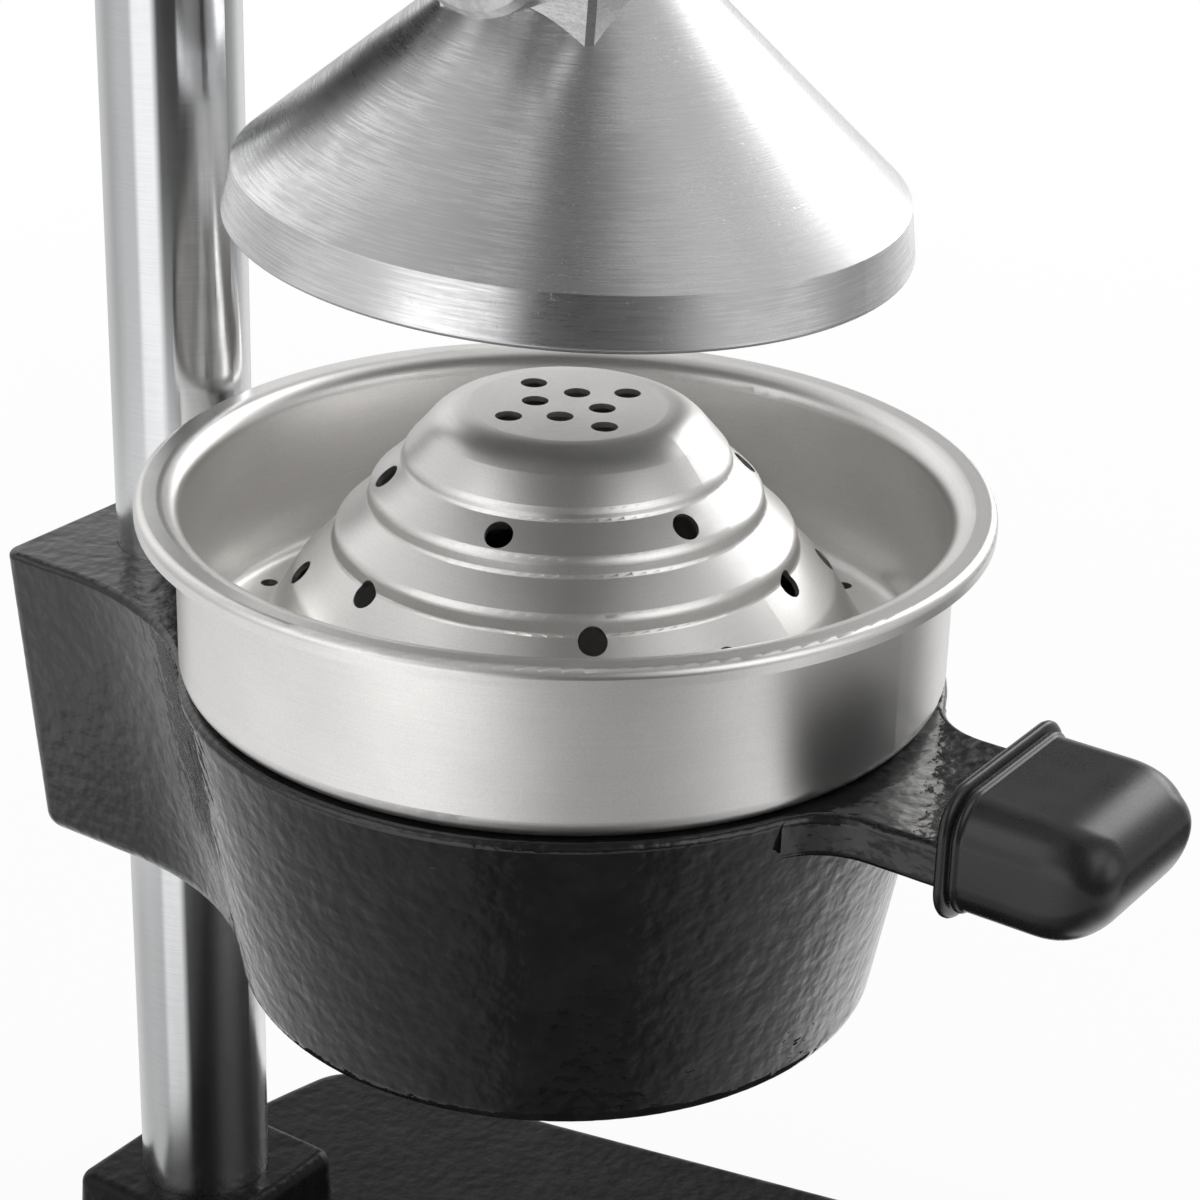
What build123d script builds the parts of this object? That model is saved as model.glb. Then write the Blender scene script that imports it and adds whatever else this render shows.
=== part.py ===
from build123d import *
import os
from math import asin, atan2, cos, degrees, hypot, radians, sin, sqrt, tan

# Hand lever juice press, in millimetres, +Z up. The origin lies on the table under the press axis.
# The column stands behind that axis on -X, and the holder's horn points forward on +X.

# Fits and gaps
slip_fit = 0.05  # radial, between a pin, bar or screw and its hole
turning_gap = 0.3  # between faces that turn past each other
drop_in_gap = 0.4  # round the funnel, which lifts out
grip_fit = 0.15  # between a plastic grip and the metal in it
point_gap = 1e-6  # points closer than this are one point
peel_gap = 6.0  # between the crown of the strainer and the bell pressed down on it
column_gap = 1.5  # between the strainer's lip and the column
bell_gap = 8.2  # between the bell's edge and the wall of the strainer

# Base plate
foot_height = 5.0
plate_height = 15.0
plate_wall = 6.0
skirt_wall = 6.0
plate_margin = 5.06  # behind the foot of the boss
plate_back_half_width = 66.0
plate_front_half_width = 108.7
plate_back_bulge = 9.3
plate_front_bulge = 14.0
plate_back_corner = 12.0
plate_front_corner = 30.0
plate_edge_round = 3.5
rib_width = 5.0
rib_offset = 34.0
boss_end_wall = 5.5
boss_side_wall = 6.0
boss_height = 18.0
boss_draft = 3.0
boss_corner_round = 4.0
boss_edge_round = 2.5
boss_foot_round = 4.0

# Feet and their screws
foot_diameter = 22.0
foot_taper = 2.0
foot_inset = 18.0
foot_pad_wall = 2.5
foot_grip_depth = 3.0
foot_screw_diameter = 4.0
foot_screw_head = 8.0
foot_screw_bite = 6.0
foot_screw_sunk = 2.6
foot_screw_head_height = 1.8

# Column
column_diameter = 25.0
column_socket_depth = 16.0
column_chamfer = 1.0
column_bolt_diameter = 10.0
column_bolt_head = 16.0
column_bolt_head_height = 7.0
column_bolt_bite = 24.0
column_washer_diameter = 30.0
column_washer_thickness = 2.5

# Cup holder
glass_room = 79.1
holder_height = 57.5
holder_ledge = 0.7  # of the ring's top, outside the strainer
holder_bottom_radius = 54.8
holder_wall = 6.0
holder_blend = 60.0
holder_edge_round = 1.2
holder_bottom_round = 4.0
block_side_wall = 12.5
block_back_wall = 9.6
block_draft = 3.4
block_corner_round = 3.0
horn_half_width = 18.5
horn_thickness = 7.5
horn_blend = 12.0
horn_length = 17.8
horn_edge_round = 1.5
tang_half_width = 12.5
tang_length = 22.0
set_screw_diameter = 8.0
set_screw_socket = 4.0
set_screw_pitch = 26.0

# Horn grip
grip_length = 25.4
grip_lift = 1.2  # of its middle over the middle of the horn
grip_half_width = 18.0
grip_height = 20.3
grip_round = 7.0
grip_end_round = 8.0
flange_thickness = 2.3
flange_lip = 1.4
flange_round = 0.9

# Juice funnel
funnel_thickness = 1.0
funnel_cover = 6.1  # of the recess's edge, under the strainer
funnel_ledge = 3.5
funnel_ledge_depth = 5.0
funnel_spout_radius = 9.0
funnel_spout_drop = 8.0
funnel_spout_length = 16.0
funnel_round = 4.0

# Strainer bowl. Heights with the word rise are measured up from the plane of its lip, and each run
# is the width of one stretch of its profile, from the crown outwards.
bowl_thickness = 0.9
bowl_depth = 32.1
bowl_lip_turn = 3.0
bowl_lip_round = 5.5
bowl_lip_edge_round = 1.7
bowl_floor_round = 2.8
crown_radius = 20.4
crown_rise = 14.2
crown_round = 9.0
first_step_rise = 6.6
first_foot_rise = 5.1
second_step_rise = 0.5
second_foot_rise = -2.0
third_step_rise = -6.7
third_foot_rise = -9.4
shoulder_rise = -15.8
crown_run = 6.5
first_step_run = 0.4
upper_flank_run = 5.2
second_step_run = 0.5
middle_flank_run = 5.3
third_step_run = 0.6
lower_flank_run = 6.3
skirt_run = 9.1
channel_run = 9.3
lip_run = 7.4
step_round = 2.6
crease_round = 1.2
shoulder_round = 6.0
dome_foot_round = 3.5
crown_hole = 4.4
crown_inner_ring = 5.65
crown_outer_ring = 11.3
crown_ring_count = 4
crown_ring_turn = 21.2
flank_hole = 4.7
upper_flank_count = 6
upper_flank_turn = -15.5
lower_flank_count = 6
lower_flank_turn = -48.3
lower_flank_drop = 1.0
shoulder_hole_count = 6
shoulder_hole_turn = -18.3
shoulder_hole_drop = 7.3
floor_hole = 3.0
floor_hole_count = 12
floor_hole_turn = 7.5
drill_depth = 3.6

# Press bell. Heights are measured up from its lower edge, along its own axis.
bell_band_height = 8.7
bell_band_taper = 1.5
bell_slope = 1.111
bell_mouth_wall = 3.4
bell_wall = 4.0
bell_edge_round = 0.8
bell_lug_half_length = 14.5
bell_lug_half_width = 19.3
bell_lug_chamfer = 1.0
bell_pin_height = 54.2
bell_tilt = 3.53
bell_sink = 10.7
stroke = 55.4

# Links and their pins
link_length = 66.0
link_thickness = 12.0
link_eye_diameter = 29.0
link_waist = 18.0
link_eye_chamfer = 1.2
pin_diameter = 12.0
pin_head_overhang = 3.0
pin_head_thickness = 4.0
pin_tail = 3.0
washer_overhang = 4.0
washer_thickness = 1.6
clip_thickness = 1.2
clip_bite = 1.0
clip_overhang = 2.4
clip_gap = 6.0

# Head of the column
pressed_drop = 20.5
sleeve_length = 35.0
sleeve_wall = 8.5
sleeve_cap = 6.0
sleeve_chamfer = 1.5
hub_room = 14.5
cheek_thickness = 9.0
cheek_radius = 18.0
cheek_depth = 14.0
cheek_chamfer = 1.0
head_screw_drop = 13.0

# Lever
hub_radius = 15.0
hub_half_width = 12.0
lever_pocket_depth = 4.5
lever_pocket_rim = 5.0
lever_chamfer = 1.5
bush_wall = 2.0
bush_flange_radius = 12.0
bush_flange_thickness = 1.5
bush_length = 9.0
pivot_diameter = 12.0
pivot_head_across = 19.0
pivot_head_thickness = 7.5
pivot_nut_thickness = 10.0
pivot_thread_end = 3.0
handle_angle = 66.0
socket_radius = 13.0
socket_length = 44.0
rod_diameter = 16.0
rod_length = 172.0
rod_bite = 26.0
rod_chamfer = 1.5
rod_nut_across = 24.0
rod_nut_thickness = 8.0
handle_grip_length = 104.0
handle_grip_radius = 15.0
handle_grip_neck = 12.0
handle_grip_cover = 14.0
handle_grip_collar = 8.0
handle_grip_edge = 2.0
handle_grip_round = 10.0

# Radii about the press axis
first_step = crown_radius + crown_run
first_foot = first_step + first_step_run
second_step = first_foot + upper_flank_run
second_foot = second_step + second_step_run
third_step = second_foot + middle_flank_run
third_foot = third_step + third_step_run
shoulder_radius = third_foot + lower_flank_run
dome_foot_radius = shoulder_radius + skirt_run
bowl_wall_radius = dome_foot_radius + channel_run
bowl_lip_radius = bowl_wall_radius + lip_run
floor_hole_ring = (dome_foot_radius + bowl_wall_radius) / 2
funnel_recess_radius = bowl_wall_radius - funnel_cover
holder_top_radius = bowl_wall_radius + bowl_thickness + holder_ledge
horn_shoulder = holder_top_radius + horn_length
bell_radius = bowl_wall_radius - bell_gap

# The column and what holds it
column_radius = column_diameter / 2
column_reach = bowl_lip_radius + column_gap + column_radius
block_half_width = column_radius + block_side_wall
block_back = column_radius + block_back_wall
boss_length = column_diameter + 2 * boss_end_wall
boss_width = column_diameter + 2 * boss_side_wall
boss_spread = boss_height * tan(radians(boss_draft))
plate_reach = column_reach + boss_length / 2 + boss_spread + boss_foot_round + plate_margin
foot_pad_radius = foot_diameter / 2 + foot_pad_wall

# Heights above the table
plate_top = foot_height + plate_height
plate_ceiling = plate_top - plate_wall
boss_top = plate_top + boss_height
socket_floor = boss_top - column_socket_depth
holder_bottom = boss_top + glass_room
holder_top = holder_bottom + holder_height
rim = holder_top + bowl_depth

# Lever geometry: the bell pin is on the press axis when the lever is pressed right down
pivot_x = -column_reach
lever_length = column_reach / cos(radians(pressed_drop))
rest_rise = degrees(asin(stroke / lever_length - sin(radians(pressed_drop))))
lever_travel = rest_rise + pressed_drop
pin_x = pivot_x + lever_length * cos(radians(rest_rise))
bell_pin_z = rim - bell_sink + stroke + bell_pin_height
lever_pin_z = bell_pin_z + link_length
pivot_z = lever_pin_z - lever_length * sin(radians(rest_rise))
saddle_z = pivot_z - hub_radius - hub_room
sleeve_bottom = saddle_z - sleeve_length
column_top = saddle_z - sleeve_cap

# Stack of pieces along the pivot and along the pins
cheek_inner = hub_half_width + bush_flange_thickness + turning_gap
cheek_outer = cheek_inner + cheek_thickness
link_inner = bell_lug_half_width + turning_gap
link_outer = link_inner + link_thickness
pin_radius = pin_diameter / 2
pivot_radius = pivot_diameter / 2


def post(radius, length):
    return Cylinder(radius, length, align=(Align.CENTER, Align.CENTER, Align.MIN))


def ring(outer, inner, length):
    return post(outer, length) - post(inner, length)


def block(length, width, height, rest=Align.MIN):
    return Box(length, width, height, align=(Align.CENTER, Align.CENTER, rest))


def hexagon(across, height):
    return extrude(RegularPolygon(across / 2, 6, major_radius=False), amount=height)


def along_y(x, y, z):
    return Pos(x, y, z) * Rot(-90, 0, 0)


def along_x(x, y, z):
    return Pos(x, y, z) * Rot(0, 90, 0)


# Edges through corners given as (x, y) or (x, y, rounding), closed back to the first corner.
# A rounding takes up half of a side at most.
def rounded_edges(corners):
    ends = []
    edges = []
    count = len(corners)
    for index, corner in enumerate(corners):
        here = Vector(corner[0], corner[1])
        before = Vector(*corners[index - 1][:2])
        after = Vector(*corners[(index + 1) % count][:2])
        rounding = corner[2] if len(corner) > 2 else 0
        if not rounding:
            ends.append((here, here))
            continue
        back = (before - here).normalized()
        forth = (after - here).normalized()
        half = radians(back.get_angle(forth)) / 2
        room = min((before - here).length, (after - here).length) / 2
        setback = min(rounding / tan(half), room)
        rounding = setback * tan(half)
        start = here + back * setback
        end = here + forth * setback
        middle = here + (back + forth).normalized() * (rounding / sin(half) - rounding)
        edges.append(ThreePointArc(start, middle, end))
        ends.append((start, end))
    for index in range(count):
        start = ends[index - 1][1]
        end = ends[index][0]
        if (end - start).length > point_gap:
            edges.append(Line(start, end))
    return edges


def turned(corners):
    return revolve(Plane.XZ * make_face(rounded_edges(corners)), Axis.Z)


# Outline of a thin sheet that lies to the right of a path of (x, y, rounding)
def sheet_corners(path, thickness):
    points = [Vector(corner[0], corner[1]) for corner in path]
    ways = [(b - a).normalized() for a, b in zip(points, points[1:])]
    rights = [Vector(way.Y, -way.X) for way in ways]
    other = [(points[0] + rights[0] * thickness, 0)]
    for index in range(1, len(points) - 1):
        first, second = rights[index - 1], rights[index]
        miter = (first + second) * (thickness / (1 + first.dot(second)))
        left_turn = ways[index - 1].cross(ways[index]).Z > 0
        rounding = path[index][2]
        if rounding:
            rounding += thickness if left_turn else -thickness
        other.append((points[index] + miter, rounding))
    other.append((points[-1] + rights[-1] * thickness, 0))
    return list(path) + [(point.X, point.Y, rounding) for point, rounding in reversed(other)]


# Outline of an arm that leaves a disc of the given radius along +X with a concave blend each side
def arm_edges(disc, half_width, reach, blend):
    centre_y = half_width + blend
    centre_x = sqrt((disc + blend) ** 2 - centre_y**2)
    share = disc / (disc + blend)
    on_disc = (centre_x * share, centre_y * share)
    on_side = (centre_x, half_width)
    lean = (atan2(on_disc[1] - centre_y, on_disc[0] - centre_x) + atan2(-1, 0)) / 2
    between = (centre_x + blend * cos(lean), centre_y + blend * sin(lean))
    edges = [Line((reach, -half_width), (reach, half_width))]
    for side in (1, -1):
        foot, middle, tip = ((x, side * y) for x, y in (on_disc, between, on_side))
        edges += [ThreePointArc(foot, middle, tip), Line(tip, (reach, side * half_width))]
    return edges, on_disc


def mirrored_over_x(edges):
    return [edge.mirror(Plane.YZ) for edge in edges]


def plate_face():
    back_x = plate_back_bulge - plate_reach
    front_x = plate_reach - plate_front_bulge
    back_left, back_right = ((back_x, side * plate_back_half_width) for side in (1, -1))
    front_left, front_right = ((front_x, side * plate_front_half_width) for side in (1, -1))
    edges = [
        ThreePointArc(back_right, (-plate_reach, 0), back_left),
        Line(back_left, front_left),
        ThreePointArc(front_left, (plate_reach, 0), front_right),
        Line(front_right, back_right),
    ]
    face = make_face(edges)
    face = fillet(face.vertices().sort_by(Axis.X)[:2], plate_back_corner)
    return fillet(face.vertices().sort_by(Axis.X)[-2:], plate_front_corner)


def foot_places():
    back_x = plate_back_bulge - plate_reach + foot_inset
    front_x = plate_reach - plate_front_bulge - foot_inset
    back_y = plate_back_half_width - foot_inset
    front_y = plate_front_half_width - plate_front_corner / 2 - foot_inset / 2
    return [(back_x, -back_y), (back_x, back_y), (front_x, front_y), (front_x, -front_y)]


def column_boss():
    length, width = boss_length + 2 * boss_spread, boss_width + 2 * boss_spread
    footprint = RectangleRounded(length, width, boss_corner_round)
    boss = extrude(footprint, amount=boss_height, taper=boss_draft)
    boss = fillet(boss.faces().sort_by(Axis.Z)[-1].edges(), boss_edge_round)
    return Pos(pivot_x, 0, plate_top) * boss


def base_plate():
    outline = plate_face()
    plate = extrude(Pos(0, 0, foot_height) * outline, amount=plate_height)
    plate = fillet(plate.faces().sort_by(Axis.Z)[-1].edges(), plate_edge_round)
    room = extrude(Pos(0, 0, foot_height) * offset(outline, -skirt_wall), amount=plate_height - plate_wall)
    plate -= room
    rib_height = plate_ceiling - foot_height
    long_rib = block(2 * plate_reach, rib_width, rib_height)
    cross_rib = block(rib_width, 2 * plate_front_half_width, rib_height)
    ribs = [Pos(0, side * rib_offset, foot_height) * long_rib for side in (1, -1)]
    ribs.append(Pos(0, 0, foot_height) * cross_rib)
    pads = [Pos(x, y, foot_height) * post(foot_pad_radius, rib_height) for x, y in foot_places()]
    plate += [room & piece for piece in ribs + pads]
    plate += column_boss()
    top_edges = plate.edges().filter_by_position(Axis.Z, plate_top - slip_fit, plate_top + slip_fit)
    boss_middle = Vector(pivot_x, 0, plate_top)
    boss_edges = [edge for edge in top_edges if (edge.center() - boss_middle).length < boss_width]
    plate = fillet(boss_edges, boss_foot_round)
    plate -= Pos(pivot_x, 0, socket_floor) * post(column_radius + slip_fit, column_socket_depth)
    plate -= Pos(pivot_x, 0, 0) * post(column_bolt_diameter / 2 + slip_fit, boss_top)
    for x, y in foot_places():
        plate -= Pos(x, y, 0) * post(foot_diameter / 2, foot_height + foot_grip_depth)
        hole_depth = foot_height + foot_grip_depth + foot_screw_bite
        plate -= Pos(x, y, 0) * post(foot_screw_diameter / 2, hole_depth)
    return plate


def foot(x, y):
    top = foot_height + foot_grip_depth
    wide = foot_diameter / 2 - slip_fit
    pad = turned([(0, 0), (wide - foot_taper, 0), (wide, foot_height), (wide, top), (0, top)])
    pad -= post(foot_screw_head / 2, foot_screw_sunk)
    pad -= post(foot_screw_diameter / 2, top)
    return Pos(x, y, 0) * pad


def foot_screw(x, y):
    head = foot_screw_head / 2 - slip_fit
    shank = foot_screw_diameter / 2 - slip_fit
    end = foot_height + foot_grip_depth + foot_screw_bite - slip_fit
    low = foot_screw_sunk - foot_screw_head_height
    screw = Pos(0, 0, low) * (post(head, foot_screw_head_height) + post(shank, end - low))
    return Pos(x, y, 0) * screw


def column():
    bar = Pos(0, 0, socket_floor) * post(column_radius, column_top - socket_floor)
    bar = chamfer(bar.edges(), column_chamfer)
    bar -= Pos(0, 0, socket_floor) * post(column_bolt_diameter / 2 + slip_fit, column_bolt_bite + slip_fit)
    return Pos(pivot_x, 0, 0) * bar


def column_washer():
    hole = column_bolt_diameter / 2 + slip_fit
    washer = ring(column_washer_diameter / 2, hole, column_washer_thickness)
    return Pos(pivot_x, 0, plate_ceiling - column_washer_thickness) * washer


def column_bolt():
    seat = plate_ceiling - column_washer_thickness
    shank = Pos(0, 0, seat) * post(column_bolt_diameter / 2, socket_floor + column_bolt_bite - seat)
    bolt_head = hexagon(column_bolt_head, column_bolt_head_height)
    bolt_head = Pos(0, 0, seat - column_bolt_head_height) * bolt_head
    return Pos(pivot_x, 0, 0) * (shank + bolt_head)


# Plan of the holder at one height: the ring's disc with the clamp block blended on behind it
def holder_face(disc, half_width, back):
    edges, on_disc = arm_edges(disc, half_width, back, holder_blend)
    front = ThreePointArc(on_disc, (-disc, 0), (on_disc[0], -on_disc[1]))
    return make_face(mirrored_over_x(edges + [front]))


def horn():
    edges, on_disc = arm_edges(holder_top_radius, horn_half_width, horn_shoulder, horn_blend)
    edges.append(Line(on_disc, (on_disc[0], -on_disc[1])))
    plate = extrude(make_face(edges), amount=-horn_thickness)
    side_edges = plate.edges().filter_by(GeomType.LINE, reverse=True)
    long_edges = plate.edges().filter_by(Axis.X)
    plate = fillet(side_edges + long_edges, horn_edge_round)
    tang = block(2 * tang_length, 2 * tang_half_width, horn_thickness, Align.MAX)
    return Pos(0, 0, holder_top) * (plate + Pos(horn_shoulder, 0, 0) * tang)


def cup_holder():
    shrink = holder_height * tan(radians(block_draft))
    low = holder_face(holder_bottom_radius, block_half_width - shrink, column_reach + block_back - shrink)
    high = holder_face(holder_top_radius, block_half_width, column_reach + block_back)
    body = loft([Pos(0, 0, holder_bottom) * low, Pos(0, 0, holder_top) * high], ruled=True)
    back_corners = body.faces().sort_by(Axis.X)[0].edges().sort_by(Axis.Y)
    body = fillet([back_corners[0], back_corners[-1]], block_corner_round)
    body = fillet(body.faces().sort_by(Axis.Z)[0].edges(), holder_bottom_round)
    body = fillet(body.faces().sort_by(Axis.Z)[-1].edges(), holder_edge_round)
    body += horn()
    ledge_z = holder_top - funnel_ledge_depth
    throat = funnel_recess_radius - funnel_ledge
    mouth = holder_bottom_radius - holder_wall
    body -= turned([
        (0, holder_bottom),
        (mouth, holder_bottom),
        (throat, ledge_z),
        (funnel_recess_radius, ledge_z),
        (funnel_recess_radius, holder_top + horn_thickness),
        (0, holder_top + horn_thickness),
    ])
    body -= Pos(pivot_x, 0, holder_bottom) * post(column_radius + slip_fit, holder_height)
    for z in holder_screw_heights():
        body -= along_x(pivot_x - 2 * block_back, 0, z) * post(set_screw_diameter / 2, 2 * block_back)
    return body


def holder_screw_heights():
    middle = (holder_top + holder_bottom) / 2
    return [middle - set_screw_pitch / 2, middle + set_screw_pitch / 2]


# Headless screw whose point meets the column, reaching back by the given length
def set_screw(length, x, z):
    screw = post(set_screw_diameter / 2 - slip_fit, length)
    screw -= hexagon(set_screw_socket, set_screw_socket)
    return along_x(x - length, 0, z) * screw


def grip_block(length, half_width, height, corner):
    return extrude(RectangleRounded(height, 2 * half_width, corner), amount=length)


def horn_grip():
    body = grip_block(flange_thickness + grip_length, grip_half_width, grip_height, grip_round)
    body = fillet(body.faces().sort_by(Axis.Z)[-1].edges(), grip_end_round)
    lip_height = grip_height + 2 * flange_lip
    lip = grip_block(flange_thickness, grip_half_width + flange_lip, lip_height, grip_round + flange_lip)
    lip = fillet(lip.faces().sort_by(Axis.Z)[-1].edges(), flange_round)
    pocket_face = Rectangle(horn_thickness + 2 * grip_fit, 2 * (tang_half_width + grip_fit))
    pocket = extrude(pocket_face, amount=tang_length + grip_fit)
    middle = holder_top - horn_thickness / 2
    grip = along_x(horn_shoulder, 0, middle + grip_lift) * (body + lip)
    return grip - along_x(horn_shoulder, 0, middle) * pocket


def juice_funnel():
    flange_z = holder_top - funnel_ledge_depth + funnel_thickness
    spout_top = holder_bottom + funnel_spout_length - funnel_spout_drop
    throat = funnel_recess_radius - funnel_ledge - drop_in_gap - funnel_thickness
    path = [
        (funnel_spout_radius, holder_bottom - funnel_spout_drop, 0),
        (funnel_spout_radius, spout_top, funnel_round),
        (throat, flange_z, funnel_thickness + drop_in_gap),
        (funnel_recess_radius - drop_in_gap, flange_z, 0),
    ]
    return turned(sheet_corners(path, funnel_thickness))


def flank_normal(start, end):
    return degrees(atan2(end[0] - start[0], start[1] - end[1]))


def drill(diameter, radius, height, tilt, count, turn):
    cutter = Rot(0, 90 - tilt, 0) * Cylinder(diameter / 2, 2 * drill_depth)
    cutter = Pos(radius, 0, rim + height) * cutter
    return [Rot(0, 0, turn + 360 * index / count) * cutter for index in range(count)]


def strainer_bowl():
    floor = bowl_thickness - bowl_depth
    path = [
        (0, crown_rise, 0),
        (crown_radius, crown_rise, crown_round),
        (first_step, first_step_rise, step_round),
        (first_foot, first_foot_rise, crease_round),
        (second_step, second_step_rise, step_round),
        (second_foot, second_foot_rise, crease_round),
        (third_step, third_step_rise, step_round),
        (third_foot, third_foot_rise, crease_round),
        (shoulder_radius, shoulder_rise, shoulder_round),
        (dome_foot_radius, floor, dome_foot_round),
        (bowl_wall_radius, floor, bowl_floor_round),
        (bowl_wall_radius, 0, bowl_lip_round),
        (bowl_lip_radius, 0, bowl_lip_edge_round),
        (bowl_lip_radius, -bowl_lip_turn, 0),
    ]
    bowl = Pos(0, 0, rim) * turned(sheet_corners(path, bowl_thickness))
    upper_tilt = flank_normal((first_foot, first_foot_rise), (second_step, second_step_rise))
    lower_tilt = flank_normal((third_foot, third_foot_rise), (shoulder_radius, shoulder_rise))
    upper_radius = (first_foot + second_step) / 2
    upper_rise = (first_foot_rise + second_step_rise) / 2
    out, down = sin(radians(lower_tilt)), cos(radians(lower_tilt))
    lower_radius = third_foot + lower_flank_drop * out
    lower_rise = third_foot_rise - lower_flank_drop * down
    shoulder_hole_radius = third_foot + shoulder_hole_drop * out
    shoulder_hole_rise = third_foot_rise - shoulder_hole_drop * down
    between_turn = crown_ring_turn + 180 / crown_ring_count
    holes = drill(crown_hole, crown_inner_ring, crown_rise, 90, crown_ring_count, crown_ring_turn)
    holes += drill(crown_hole, crown_outer_ring, crown_rise, 90, crown_ring_count, between_turn)
    holes += drill(flank_hole, upper_radius, upper_rise, upper_tilt, upper_flank_count, upper_flank_turn)
    holes += drill(flank_hole, lower_radius, lower_rise, lower_tilt, lower_flank_count, lower_flank_turn)
    holes += drill(flank_hole, shoulder_hole_radius, shoulder_hole_rise, lower_tilt, shoulder_hole_count,
                   shoulder_hole_turn)
    holes += drill(floor_hole, floor_hole_ring, floor, 90, floor_hole_count, floor_hole_turn)
    return bowl - holes


# The bell is made with its pin at the origin, then hung at its rest tilt
def press_bell():
    crease = bell_radius - bell_band_taper
    apex = bell_band_height + crease / bell_slope
    shell = turned([
        (0, 0),
        (bell_radius, 0, bell_edge_round),
        (crease, bell_band_height),
        (0, apex),
    ])
    lug_top = bell_pin_height + bell_lug_half_length
    lug = extrude(Rectangle(2 * bell_lug_half_length, 2 * bell_lug_half_width), amount=lug_top)
    lug = fillet(lug.faces().sort_by(Axis.Z)[-1].edges().filter_by(Axis.Y), bell_lug_half_length - slip_fit)
    lug = chamfer(lug.edges().filter_by(Axis.Z), bell_lug_chamfer)
    bell = shell + lug
    # The hollow keeps an even wall under the cone and a flat ceiling just over the strainer's crown
    radial_wall = bell_wall * sqrt(1 + bell_slope**2)
    ceiling = bell_sink + crown_rise + peel_gap
    ceiling_radius = crease - radial_wall - bell_slope * (ceiling - bell_band_height)
    mouth = bell_radius - bell_mouth_wall
    shoulder = bell_band_height - (mouth - crease + radial_wall) / bell_slope
    bell -= turned([
        (0, 0),
        (mouth, 0),
        (mouth, shoulder),
        (ceiling_radius, ceiling),
        (0, ceiling),
    ])
    bell = Pos(0, 0, -bell_pin_height) * bell
    bell -= along_y(0, -bell_radius, 0) * post(pin_radius + slip_fit, 2 * bell_radius)
    return Pos(pin_x, 0, bell_pin_z) * Rot(0, bell_tilt, 0) * bell


def link(side):
    eye = link_eye_diameter / 2
    face = Circle(eye) + Pos(0, link_length) * Circle(eye)
    face += Pos(0, link_length / 2) * Rectangle(link_waist, link_length)
    plate = extrude(face, amount=link_thickness)
    plate = chamfer(plate.faces().sort_by(Axis.Z)[-1].edges(), link_eye_chamfer)
    for height in (0, link_length):
        plate -= Pos(0, height) * post(pin_radius + slip_fit, link_thickness)
    turn = Rot(90, 0, 0) if side < 0 else Rot(90, 0, 0) * Rot(0, 180, 0)
    return Pos(pin_x, side * link_inner, bell_pin_z) * turn * plate


def pin(z):
    clip_start = link_outer + washer_thickness
    end = clip_start + clip_thickness + pin_tail
    body = along_y(0, -link_outer, 0) * post(pin_radius, link_outer + end)
    cap = post(pin_radius + pin_head_overhang, pin_head_thickness)
    body += along_y(0, -link_outer - pin_head_thickness, 0) * cap
    body -= along_y(0, clip_start, 0) * ring(pin_diameter, pin_radius - clip_bite, clip_thickness)
    body = chamfer(body.edges().filter_by(GeomType.CIRCLE).sort_by(Axis.Y)[-1:], clip_bite)
    return Pos(pin_x, 0, z) * body


def pin_washer(z):
    washer = ring(pin_radius + washer_overhang, pin_radius + slip_fit, washer_thickness)
    return along_y(pin_x, link_outer, z) * washer


def pin_clip(z):
    clip = ring(pin_radius + clip_overhang, pin_radius - clip_bite + slip_fit, clip_thickness)
    clip -= Pos(pin_radius, 0, 0) * block(pin_diameter, clip_gap, clip_thickness)
    return along_y(pin_x, link_outer + washer_thickness, z) * clip


def head():
    sleeve_radius = column_radius + sleeve_wall
    sleeve = Pos(0, 0, sleeve_bottom) * post(sleeve_radius, sleeve_length)
    sleeve = chamfer(sleeve.edges(), sleeve_chamfer)
    rise = pivot_z - saddle_z + cheek_depth
    foot_face = Pos(0, cheek_depth / 2 - rise) * Rectangle(2 * sleeve_radius, cheek_depth)
    cheek_face = make_hull((Circle(cheek_radius) + foot_face).edges())
    cheek = chamfer(extrude(cheek_face, amount=cheek_thickness).edges(), cheek_chamfer)
    cheeks = [Pos(0, y, pivot_z) * Rot(90, 0, 0) * cheek for y in (-cheek_inner, cheek_outer)]
    cap = sleeve + cheeks
    cap -= Pos(0, 0, sleeve_bottom) * post(column_radius + slip_fit, sleeve_length - sleeve_cap)
    cap -= along_y(0, -2 * cheek_outer, pivot_z) * post(pivot_radius + slip_fit, 4 * cheek_outer)
    screw_hole = post(set_screw_diameter / 2, 2 * sleeve_radius)
    cap -= along_x(-2 * sleeve_radius, 0, head_screw_z()) * screw_hole
    return Pos(pivot_x, 0, 0) * cap


def head_screw_z():
    return sleeve_bottom + head_screw_drop


def pivot_washer(side):
    washer = ring(pivot_radius + washer_overhang, pivot_radius + slip_fit, washer_thickness)
    start = cheek_outer if side > 0 else -cheek_outer - washer_thickness
    return along_y(pivot_x, start, pivot_z) * washer


def pivot_bolt():
    seat = cheek_outer + washer_thickness
    shank = along_y(0, -seat, 0) * post(pivot_radius, 2 * seat + pivot_nut_thickness + pivot_thread_end)
    bolt_head = hexagon(pivot_head_across, pivot_head_thickness)
    bolt_head = along_y(0, -seat - pivot_head_thickness, 0) * bolt_head
    return Pos(pivot_x, 0, pivot_z) * (shank + bolt_head)


def pivot_nut():
    nut = hexagon(pivot_head_across, pivot_nut_thickness)
    nut -= post(pivot_radius + slip_fit, pivot_nut_thickness)
    return along_y(pivot_x, cheek_outer + washer_thickness, pivot_z) * nut


def pivot_bush(side):
    hole = pivot_radius + slip_fit
    flange = ring(bush_flange_radius, hole, bush_flange_thickness)
    bush = ring(pivot_radius + bush_wall, hole, bush_length) + Pos(0, 0, -bush_flange_thickness) * flange
    turn = Rot(-90, 0, 0) if side < 0 else Rot(90, 0, 0)
    return Pos(pivot_x, side * hub_half_width, pivot_z) * turn * bush


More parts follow.
